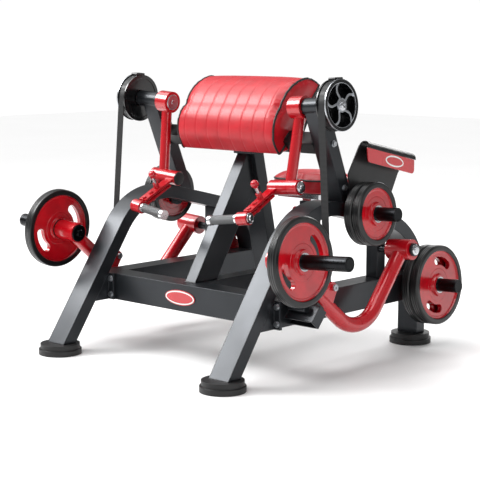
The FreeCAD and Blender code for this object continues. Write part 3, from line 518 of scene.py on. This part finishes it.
bigRimMm, smallRimMm = 130, 93
for side in sides:
    slide = joints["load_plate_slide_" + side]
    recolourNode("load_plate_" + side, plateFinish("loadPlateEnamel_" + side,
                                                   middleOf("load_plate_" + side), slide["axis"], bigRimMm))
    for store, rim in (("mid", smallRimMm), ("rear", bigRimMm)):
        for order in ("inner", "outer"):
            node = "plate_%s_%s_%s" % (store, order, side)
            finish = plateFinish("storedPlateEnamel_" + node, middleOf(node),
                                 joints[node + "_slide"]["axis"], rim)
            recolourNode(node, finish)
    curl = joints["curl_" + side]
    outwards = Vector(curl["axis"]) * (-1 if curl["axis"][0] * sides[side] < 0 else 1)
    recolourNode("cam_" + side, camFinish("castCamBlack_" + side, curl["pos_m"], outwards))
    spin = joints["grip_spin_" + side]
    recolourNode("grip_" + side, gripFinish("knurledSteel_" + side, spin["pos_m"], spin["axis"]))
    pull = joints["plunger_pull_" + side]
    node = "index_plunger_" + side
    low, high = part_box(node)
    ballAt = Vector(((low[0] + high[0]) / 2, low[1] + 0.015, high[2] - 0.015))
    recolourNode(node, knobFinish("pullKnob_" + side, ballAt, pull["axis"], -16))
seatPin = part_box("seat_pin")
recolourNode("seat_pin", knobFinish("seatPinKnob", (0, seatPin[0][1] + 0.024, 0), (0, -1, 0), 0))
print("finishes given to the frame")


# soft parts

def copiedShell(name, node, shrink):
    # a merged copy of a CAD solid, a little smaller so that it can swell back
    source = frame["nodes"][node]
    bm = bmesh.new()
    bm.from_mesh(source.data)
    bmesh.ops.remove_doubles(bm, verts=bm.verts, dist=0.00005)
    middle = middleOf(node)
    low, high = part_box(node)
    for vert in bm.verts:
        for i in range(3):
            half = (high[i] - low[i]) / 2
            vert.co[i] = middle[i] + (vert.co[i] - middle[i]) * (half - shrink) / half
    bmesh.ops.recalc_face_normals(bm, faces=bm.faces)
    return meshObject(name, bm)


def remesh(piece, voxel):
    modifier = piece.modifiers.new("voxels", "REMESH")
    modifier.mode = "VOXEL"
    modifier.voxel_size = voxel
    modifier.use_smooth_shade = True
    applyModifiers(piece)


def applyModifiers(piece):
    mesh = bpy.data.meshes.new_from_object(piece.evaluated_get(bpy.context.evaluated_depsgraph_get()))
    piece.modifiers.clear()
    piece.data = mesh


def swell(piece, pressure, cap, frames=20):
    # inflate as cloth, then hold every point within its own cap of where it started
    start = [vert.co.copy() for vert in piece.data.vertices]
    cloth = piece.modifiers.new("swell", "CLOTH")
    cloth.settings.use_pressure = True
    cloth.settings.uniform_pressure_force = pressure
    cloth.settings.effector_weights.gravity = 0
    cloth.settings.quality = 4
    cloth.settings.mass = 0.3
    cloth.settings.tension_stiffness = 15
    cloth.settings.bending_stiffness = 2
    cloth.point_cache.frame_start, cloth.point_cache.frame_end = 1, frames
    for number in range(1, frames + 1):
        bpy.context.scene.frame_set(number)
    applyModifiers(piece)
    bpy.context.scene.frame_set(1)
    for vert, origin in zip(piece.data.vertices, start):
        shift = vert.co - origin
        limit = cap(origin)
        if shift.length > limit:
            vert.co = origin + shift.normalized() * limit if limit > 0 else origin


def relax(piece, factor, repeat):
    bm = bmesh.new()
    bm.from_mesh(piece.data)
    for step in range(repeat):
        bmesh.ops.smooth_vert(bm, verts=bm.verts, factor=factor, use_axis_x=True, use_axis_y=True,
                              use_axis_z=True)
    bm.to_mesh(piece.data)
    bm.free()


def subdivide(piece):
    modifier = piece.modifiers.new("smooth", "SUBSURF")
    modifier.levels = modifier.render_levels = 1
    applyModifiers(piece)
    for polygon in piece.data.polygons:
        polygon.use_smooth = True


def outlineOf(node, x, clearOf=None, gap=0.0):
    # the CAD solid's outline at one end, in order round its middle, as (y, z)
    points = {}
    for vert in frame["nodes"][node].data.vertices:
        if abs(vert.co.x - x) < 0.0005:
            point = Vector((vert.co.y, vert.co.z))
            if clearOf is None or (point - clearOf).length > gap:
                points[(round(point.x, 4), round(point.y, 4))] = point
    middle = sum(points.values(), Vector((0, 0))) / len(points)
    return sorted(points.values(), key=lambda point: math.atan2(point.y - middle.y, point.x - middle.x))


def evenly(points, step):
    # points at about even steps along a closed run of 2-D points
    result = []
    for a, b in zip(points, points[1:] + points[:1]):
        count = max(1, round((b - a).length / step))
        result += [a.lerp(b, i / count) for i in range(count)]
    return result


armPadLook = {"shrink": 0.005, "voxel": 0.005, "pressure": 4.0, "cap": 0.008, "seamPitch": 0.058,
              "seamWidth": 0.0028,
              "seamDepth": 0.0016, "pipingRadius": 0.0042, "stitchPitch": 0.007}
padLow, padHigh = (Vector(corner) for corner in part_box("preacher_pad"))
beamMiddle = middleOf("pad_cross_beam")
beamPoint = Vector((beamMiddle.y, beamMiddle.z))
padOutline = evenly(outlineOf("preacher_pad", padHigh.x, beamPoint, 0.05), 0.004)


# the flat back runs from the top rear corner to the low rear corner of the outline
topRear = max(padOutline, key=lambda point: point.x)
lowRear = min((point for point in padOutline if point.x > topRear.x - 0.16), key=lambda point: point.y)
backRun = (topRear - lowRear).normalized()
awayFromBoard = Vector((0, -backRun.y, backRun.x))


def fromBoard(point):
    # how far a point stands in front of the board's front face
    return (point - Vector((0, lowRear.x, lowRear.y))).dot(awayFromBoard)


armPad = copiedShell("armPad", "preacher_pad", armPadLook["shrink"])
remesh(armPad, armPadLook["voxel"])
def padCap(origin):
    clear = fromBoard(origin)
    nearBeam = (Vector((origin.y, origin.z)) - beamPoint).length
    if clear < 0.012 or nearBeam < 0.05:
        return 0.0
    return armPadLook["cap"] * min(1.0, (clear - 0.012) / 0.04)
swell(armPad, armPadLook["pressure"], padCap)
relax(armPad, 0.4, 3)
subdivide(armPad)

seamCount = int((padHigh.x - padLow.x) / armPadLook["seamPitch"])
seams = [(i - (seamCount - 1) / 2) * armPadLook["seamPitch"] for i in range(seamCount)]
facings = [vert.normal.copy() for vert in armPad.data.vertices]
for vert, facing in zip(armPad.data.vertices, facings):
    if fromBoard(vert.co) < 0.004 or abs(vert.co.x) > padHigh.x - 0.012:
        continue
    nearest = min(abs(vert.co.x - seam) for seam in seams)
    vert.co -= facing * armPadLook["seamDepth"] * math.exp(-(nearest / armPadLook["seamWidth"]) ** 2)
dress(armPad, "redVinyl", "frame", ["preacher_pad"])

padTree = BVHTree.FromObject(armPad, bpy.context.evaluated_depsgraph_get())


def onPad(point, lift):
    place, normal, index, distance = padTree.find_nearest(point)
    return place + normal * lift


pipingPaths = []
for x in (padLow.x + 0.004, padHigh.x - 0.004):
    path = [onPad(Vector((x, point.x, point.y)), 0.001) for point in padOutline]
    pipingPaths.append(path)
piping = tubeAlong("armPadPiping", pipingPaths, armPadLook["pipingRadius"])
dress(piping, "blackVinyl", "frame")
print("arm pad sewn:", len(armPad.data.polygons), "faces")

seatLook = {"shrink": 0.006, "voxel": 0.005, "pressure": 4.0, "cap": 0.014, "pipingRadius": 0.004,
            "pipingDrop": 0.014}
seatLow, seatHigh = (Vector(corner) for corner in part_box("seat_pad"))
seatPad = copiedShell("seatPad", "seat_pad", seatLook["shrink"])
remesh(seatPad, seatLook["voxel"])
def seatCap(origin):
    clear = origin.z - seatLow.z - 0.012
    return seatLook["cap"] * max(0.0, min(1, clear / 0.02))
swell(seatPad, seatLook["pressure"], seatCap)
relax(seatPad, 0.4, 3)
subdivide(seatPad)
seatMiddle = (seatLow + seatHigh) / 2
for vert in seatPad.data.vertices:
    if vert.co.z > seatMiddle.z:
        across = (vert.co.x - seatMiddle.x) / (seatHigh.x - seatMiddle.x)
        deep = (vert.co.y - seatMiddle.y) / (seatHigh.y - seatMiddle.y)
        crown = max(0.0, 1 - across ** 2) * max(0.0, 1 - deep ** 2)
        vert.co.z += 0.006 * crown * (vert.co.z - seatMiddle.z) / (seatHigh.z - seatMiddle.z)
dress(seatPad, "redVinyl", "seat", ["seat_pad"])
seatTree = BVHTree.FromObject(seatPad, bpy.context.evaluated_depsgraph_get())
seatPaths = []
for height in (seatHigh.z - seatLook["pipingDrop"], seatLow.z + 0.006):
    path = []
    for step in range(120):
        angle = 2 * math.pi * step / 120
        ray = Vector((math.cos(angle), math.sin(angle), 0))
        start = Vector((seatMiddle.x, seatMiddle.y, height)) + ray * 0.4
        hit = seatTree.ray_cast(start, -ray)[0]
        path.append(hit - ray * 0.001)
    seatPaths.append(path)
seatPiping = tubeAlong("seatPiping", seatPaths, seatLook["pipingRadius"])
dress(seatPiping, "blackVinyl", "seat")
print("seat pad sewn:", len(seatPad.data.polygons), "faces")


# belts: each is flat from the cam to the lever's ear, and a band lies in the cam's groove
beltLook = {"width": 0.030, "thickness": 0.003, "grooveRadiusMm": 84, "steps": 48}
for side, sign in sides.items():
    low, high = (Vector(corner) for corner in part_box("belt_" + side))
    curl = joints["curl_" + side]
    outwards = Vector(curl["axis"]) * (-1 if curl["axis"][0] * sign < 0 else 1)
    source = frame["nodes"]["belt_" + side]
    bm = bmesh.new()
    bm.from_mesh(source.data)
    bmesh.ops.remove_doubles(bm, verts=bm.verts, dist=0.00005)
    bmesh.ops.recalc_face_normals(bm, faces=bm.faces)
    ends = high.z - low.z
    for cutAt in range(1, beltLook["steps"]):
        height = low.z + ends * cutAt / beltLook["steps"]
        bmesh.ops.bisect_plane(bm, geom=bm.verts[:] + bm.edges[:] + bm.faces[:], plane_co=(0, 0, height),
                               plane_no=up)
    belt = meshObject("belt_run_" + side, bm)
    dress(belt, "wovenBelt", "frame", ["belt_" + side])
    pivot = Vector(joints["lever_lift_" + side]["pos_m"])
    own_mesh(belt)
    inner, outer, half = beltLook["grooveRadiusMm"] + 0.1, beltLook["grooveRadiusMm"] + 3, beltLook["width"] / 2 / mm
    wrap = lathePiece("belt_wrap_" + side, [([(inner, -half), (outer, -half), (outer, half),
                                              (inner, half), (inner, -half)],
                                             curl["pos_m"], outwards)])
    dress(wrap, "wovenBelt", "arm_" + side)
print("belts laid")


# screws and other repeated heads: one node tree that stands a head on every point of a mesh
def socketHeadTree(material):
    tree = bpy.data.node_groups.new("socketHeads", "GeometryNodeTree")
    for name, kind, default in (("Geometry", "NodeSocketGeometry", None),
                                ("Head Radius", "NodeSocketFloat", 0.005),
                                ("Head Height", "NodeSocketFloat", 0.004), ("Socket Radius",
                                                                            "NodeSocketFloat", 0.0025)):
        socket = tree.interface.new_socket(name, in_out="INPUT", socket_type=kind)
        if default:
            socket.default_value = default
    tree.interface.new_socket("Geometry", in_out="OUTPUT", socket_type="NodeSocketGeometry")
    inputs = addNode(tree, "NodeGroupInput")
    head = addNode(tree, "GeometryNodeMeshCylinder", {"Vertices": 24},
                   {"Radius": inputs.outputs["Head Radius"], "Depth": inputs.outputs["Head Height"]})
    hole = addNode(tree, "GeometryNodeMeshCylinder", {"Vertices": 6},
                   {"Radius": inputs.outputs["Socket Radius"], "Depth": inputs.outputs["Head Height"]})
    raised = addNode(tree, "ShaderNodeCombineXYZ", links={"Z": inputs.outputs["Head Height"]})
    halfUp = addNode(tree, "ShaderNodeVectorMath", {"Scale": 0.5}, {0: raised.outputs[0]},
                     operation="SCALE")
    standing = addNode(tree, "GeometryNodeTransform",
                       links={"Geometry": head.outputs["Mesh"], "Translation": halfUp.outputs[0]})
    sunk = addNode(tree, "GeometryNodeTransform",
                   links={"Geometry": hole.outputs["Mesh"], "Translation": raised.outputs[0]})
    cutHead = addNode(tree, "GeometryNodeMeshBoolean",
                      links={0: standing.outputs[0], 1: sunk.outputs[0]}, operation="DIFFERENCE")
    facing = addNode(tree, "GeometryNodeInputNamedAttribute", {"Name": "facing"},
                     data_type="FLOAT_VECTOR")
    turn = addNode(tree, "FunctionNodeAlignRotationToVector",
                   links={"Vector": facing.outputs["Attribute"]}, axis="Z")
    place = addNode(tree, "GeometryNodeInstanceOnPoints",
                    links={"Points": inputs.outputs["Geometry"], "Instance": cutHead.outputs[0],
                           "Rotation": turn.outputs[0]})
    real = addNode(tree, "GeometryNodeRealizeInstances", links={"Geometry": place.outputs[0]})
    painted = addNode(tree, "GeometryNodeSetMaterial", {"Material": material},
                      {"Geometry": real.outputs[0]})
    addNode(tree, "NodeGroupOutput", links={"Geometry": painted.outputs[0]})
    return tree


def headsOn(name, tree, points, sizes, body):
    # points is a list of (place, facing)
    mesh = bpy.data.meshes.new(name)
    mesh.from_pydata([place for place, facing in points], [], [])
    attribute = mesh.attributes.new("facing", "FLOAT_VECTOR", "POINT")
    for i, (place, facing) in enumerate(points):
        attribute.data[i].vector = Vector(facing)
    piece = bpy.data.objects.new(name, mesh)
    bpy.context.scene.collection.objects.link(piece)
    modifier = piece.modifiers.new("heads", "NODES")
    modifier.node_group = tree
    for item in tree.interface.items_tree:
        if item.in_out == "INPUT" and item.name in sizes:
            modifier[item.identifier] = sizes[item.name]
    applyModifiers(piece)
    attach(piece, body)
    return piece


headTree = socketHeadTree(finishes["zincPlate"])


def inPlane(side, off, y, z):
    # a place in the tilted plane of one arm, from the shaft's middle, in millimetres
    sign = sides[side]
    curl = joints["curl_" + side]
    outwards = Vector(curl["axis"]) * (-1 if curl["axis"][0] * sign < 0 else 1)
    upwards = Vector((-outwards.z * sign, 0, outwards.x * sign))
    return Vector(curl["pos_m"]) + (outwards * off + upwards * z + Vector((0, y,
                                                                           0))) * mm, outwards, upwards


# every cap is an outline of (radius, height) pairs in millimetres, turned about its own axis
capLook = {"blockInnerMm": -288, "blockOuterMm": -154, "blockY": -38, "blockZ": -283, "loadEndMm": 285,
           "hubY": -325, "hubZ": -507,
           "earY": -96, "earZ": -625, "gripHalfMm": 113, "axleEndMm": 62}
capOutlines = {
    "block": [(0, 0), (21, 0), (22, 1), (22, 5), (20.5, 6.5), (12, 8), (9, 8), (8, 11), (0, 11.5)],
    "cam": [(0, 0), (19, 0), (19, 3), (13, 4), (13, 9), (11, 11), (5, 11), (5, 7), (0, 7)],
    "armHub": [(0, 0), (30, 0), (30, 2), (28, 4), (10, 5), (9, 8), (0, 8.5)],
    "collar": [(0, 0), (19, 0), (20, 1), (20, 4), (18, 6), (11, 7), (10, 11), (0, 11.5)],
    "barEnd": [(0, -16), (25.3, -16), (25.3, -3), (22.5, 0), (17, 0), (15, -2), (0, -2.5)],
    "leverHub": [(0, 0), (33, 0), (33, 2), (31, 4), (14, 4), (14, 10), (12, 12), (0, 12)],
    "axle": [(0, 0), (20, 0), (20, 3), (17, 5), (11, 5), (11, 9), (0, 9.5)]}
screwLook = {"clamp": {"Head Radius": 0.005, "Head Height": 0.004, "Socket Radius": 0.0025},
             "ear": {"Head Radius": 0.012, "Head Height": 0.006, "Socket Radius": 0.005}}
for side, sign in sides.items():
    curl = joints["curl_" + side]
    arm, lever, handle = "arm_" + side, "lever_" + side, "handle_" + side
    inner, outwards, upwards = inPlane(side, capLook["blockInnerMm"], capLook["blockY"],
                                       capLook["blockZ"])
    outer = inPlane(side, capLook["blockOuterMm"], capLook["blockY"], capLook["blockZ"])[0]
    plug = lathePiece("block_plug_" + side, [(domeOutline(25.5, 4), inner, -outwards)])
    dress(plug, "blackAbs", arm)
    cap = lathePiece("block_cap_" + side, [(capOutlines["block"], outer, outwards)])
    dress(cap, "chromePlate", arm)
    camBolt = lathePiece("cam_bolt_" + side, [(capOutlines["cam"], inPlane(side, 22, 0, 0)[0],
                                               outwards)])
    dress(camBolt, "chromePlate", arm)
    hubCap = lathePiece("hub_cap_" + side, [(capOutlines["armHub"], inPlane(side, -198, 0, 0)[0],
                                             -outwards)])
    dress(hubCap, "zincPlate", arm)
    clampScrews = [(inPlane(side, 15, y, 86.5)[0], outwards) for y in (-14, 12)]
    headsOn("clamp_screws_" + side, headTree, clampScrews, screwLook["clamp"], arm)

    # chrome bolt on the outer end of the grip's collar
    spin = joints["grip_spin_" + side]
    inward = Vector(spin["axis"]).normalized()
    collarEnd = Vector(spin["pos_m"]) - inward * capLook["gripHalfMm"] * mm
    bolt = lathePiece("collar_bolt_" + side, [(capOutlines["collar"], collarEnd, -inward)])
    dress(bolt, "chromePlate", handle)

    # bright end rings on the plate bars, and a bolt in the inner end of the lever's front hub
    barEnd = inPlane(side, capLook["loadEndMm"], capLook["hubY"], capLook["hubZ"])[0]
    ring = lathePiece("load_bar_end_" + side, [(capOutlines["barEnd"], barEnd, outwards)])
    dress(ring, "blackenedSteel", lever)
    hubInner = inPlane(side, -45, capLook["hubY"], capLook["hubZ"])[0]
    hubBolt = lathePiece("lever_hub_bolt_" + side, [(capOutlines["leverHub"], hubInner, -outwards)])
    dress(hubBolt, "blackenedSteel", lever)
    pivot = Vector(joints["lever_lift_" + side]["pos_m"])
    axleEnd = pivot + outwards * capLook["axleEndMm"] * mm
    axleCap = lathePiece("axle_cap_" + side, [(capOutlines["axle"], axleEnd, outwards)])
    dress(axleCap, "chromePlate", "frame")
    earBolts = [(inPlane(side, off, capLook["earY"], capLook["earZ"])[0],
                 outwards * math.copysign(1, off))
                for off in (-32, 32)]
    headsOn("ear_bolts_" + side, headTree, earBolts, screwLook["ear"], lever)

endRings = []
for side, sign in sides.items():
    for store in ("mid", "rear"):
        node = "storage_horn_%s_%s" % (store, side)
        axis = Vector(joints["plate_%s_outer_%s_slide" % (store, side)]["axis"])
        ends = [vert.co.dot(axis) for vert in frame["nodes"][node].data.vertices]
        plateMiddle = middleOf("plate_%s_inner_%s" % (store, side))
        tip = plateMiddle + axis * (max(ends) - plateMiddle.dot(axis))
        endRings.append((capOutlines["barEnd"], tip, axis))
dress(lathePiece("storage_bar_ends", endRings), "blackenedSteel", "frame")
print("caps and heads placed")


# badge on the front beam and oval on the placard: plain, with a white border
def addOval(bm, centre, right, upright, width, height, thickness, segments=72):
    facing = right.cross(upright).normalized()
    rings = []
    for scale, lift in ((1.0, 0), (1.0, thickness), (0.0, thickness)):
        ring = []
        for step in range(segments if scale else 1):
            angle = 2 * math.pi * step / segments
            flat = right * (width / 2 * scale * math.cos(angle)) + upright * (height / 2 * scale * math.sin(angle))
            ring.append(bm.verts.new(centre + flat + facing * lift))
        rings.append(ring)
    for step in range(segments):
        following = (step + 1) % segments
        bm.faces.new((rings[0][step], rings[0][following], rings[1][following], rings[1][step]))
        bm.faces.new((rings[1][step], rings[1][following], rings[2][0]))
    bm.faces.new(list(reversed(rings[0])))


def ovalPiece(name, centre, right, upright, size, finish):
    bm = bmesh.new()
    addOval(bm, centre, right, upright, *ovalLook[size], ovalLook["thickness"])
    bmesh.ops.recalc_face_normals(bm, faces=bm.faces)
    piece = meshObject(name, bm)
    dress(piece, finish, "frame")
    return piece


ovalLook = {"thickness": 0.0006, "frontBorder": (0.146, 0.050), "frontField": (0.134, 0.040),
            "placardBorder": (0.112, 0.040), "placardField": (0.098, 0.029), "placardShift": (0, 0.02,
                                                                                              -0.004)}
badgeLow, badgeHigh = (Vector(corner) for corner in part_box("front_badge"))
badgeMiddle = Vector((0, badgeLow.y, (badgeLow.z + badgeHigh.z) / 2))
across, front = Vector((1, 0, 0)), Vector((0, -1, 0))
ovalPiece("badge_border", badgeMiddle, across, up, "frontBorder", "whiteLacquer")
ovalPiece("badge_field", badgeMiddle + front * ovalLook["thickness"], across, up, "frontField",
          "redEnamel")
panelLow, panelHigh = (Vector(corner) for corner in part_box("placard_panel"))
panelMiddle = Vector((panelHigh.x, (panelLow.y + panelHigh.y) / 2, (panelLow.z + panelHigh.z) / 2))
panelMiddle += Vector(ovalLook["placardShift"])
panelRun = Vector((0, 0.287, -0.063)).normalized()
panelUp = Vector((0, -panelRun.z, panelRun.y))
ovalPiece("placard_border", panelMiddle, panelRun, panelUp, "placardBorder", "whiteLacquer")
ovalPiece("placard_field", panelMiddle + across * ovalLook["thickness"], panelRun, panelUp,
          "placardField", "redEnamel")

# a plug in the open end of the spine beam
plugs = bmesh.new()
spineLow, spineHigh = (Vector(corner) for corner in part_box("base_spine_beam"))
plugSize = Vector((spineHigh.x - spineLow.x - 0.006, 0.02, spineHigh.z - spineLow.z - 0.006))
plugPlace = Matrix.Translation((0, spineHigh.y - 0.008,
                                (spineLow.z + spineHigh.z) / 2)) @ Matrix.Diagonal((*plugSize, 1))
bmesh.ops.create_cube(plugs, size=1, matrix=plugPlace)
bmesh.ops.bevel(plugs, geom=plugs.edges[:], offset=0.003, segments=2, affect="EDGES")
plugPiece = meshObject("spine_plug", plugs)
smoothByAngle(plugPiece)
dress(plugPiece, "blackAbs", "frame")
print("badges and plugs done")


# studio
def areaLight(name, place, target, size, power):
    light = bpy.data.lights.new(name, "AREA")
    light.shape = "RECTANGLE"
    light.size, light.size_y = size
    light.energy = power
    holder = bpy.data.objects.new(name, light)
    holder.location = place
    holder.rotation_euler = (Vector(target) - Vector(place)).to_track_quat("-Z", "Y").to_euler()
    bpy.context.scene.collection.objects.link(holder)


floorMesh = bmesh.new()
bmesh.ops.create_grid(floorMesh, x_segments=1, y_segments=1, size=14)
floor = meshObject("studio_floor", floorMesh)
floorFinish, tree, shader, coords = newFinish("paleStudioFloor", {"Metallic": 0, "Roughness": 0.55})
cloud = noise(tree, coords, 900, 3)
tree.links.new(blendColours(tree, cloud.outputs["Fac"], "#f2f2f2", "#eeeeee"),
               shader.inputs["Base Color"])
giveFinish(floor, floorFinish)

world = bpy.data.worlds.new("studio")
world.use_nodes = True
world.node_tree.nodes.clear()
behind = addNode(world.node_tree, "ShaderNodeLightPath").outputs["Is Camera Ray"]
# the backdrop is white, and lights the object only a little
glow = ramp(world.node_tree, behind, 0, 1, 0.25, 1.02)
backdrop = addNode(world.node_tree, "ShaderNodeBackground", {"Color": (1, 1, 1, 1)}, {"Strength": glow})
addNode(world.node_tree, "ShaderNodeOutputWorld", links={"Surface": backdrop.outputs[0]})
bpy.context.scene.world = world
sunData = bpy.data.lights.new("evenLight", "SUN")
sunData.energy = 3.3
sunData.angle = math.radians(75)
sun = bpy.data.objects.new("evenLight", sunData)
sun.rotation_euler = Vector((0.35, 0.25, -1)).to_track_quat("-Z", "Y").to_euler()
bpy.context.scene.collection.objects.link(sun)
target = (0, 0, 0.5)
areaLight("keyLight", (-3.4, -2.3, 3.6), target, (2.0, 2.0), 200)
areaLight("fillLight", (4.4, -1.2, 2.2), target, (1.2, 3.0), 40)
areaLight("rimLight", (-1.0, 4.4, 2.8), target, (3.0, 1.2), 90)

cameraLook = {"place": (3.548, -3.858, 1.163), "azimuth": 42.85, "down": 8.17, "lens": 104.03}
cameraData = bpy.data.cameras.new("camera")
cameraData.lens = cameraLook["lens"]
cameraData.sensor_width = 36
cameraData.clip_end = 100
camera = bpy.data.objects.new("camera", cameraData)
camera.location = cameraLook["place"]
camera.rotation_euler = (math.radians(90 - cameraLook["down"]), 0, math.radians(cameraLook["azimuth"]))
bpy.context.scene.collection.objects.link(camera)
bpy.context.scene.camera = camera
bpy.context.scene.view_settings.view_transform = "Standard"

print("scene ready")
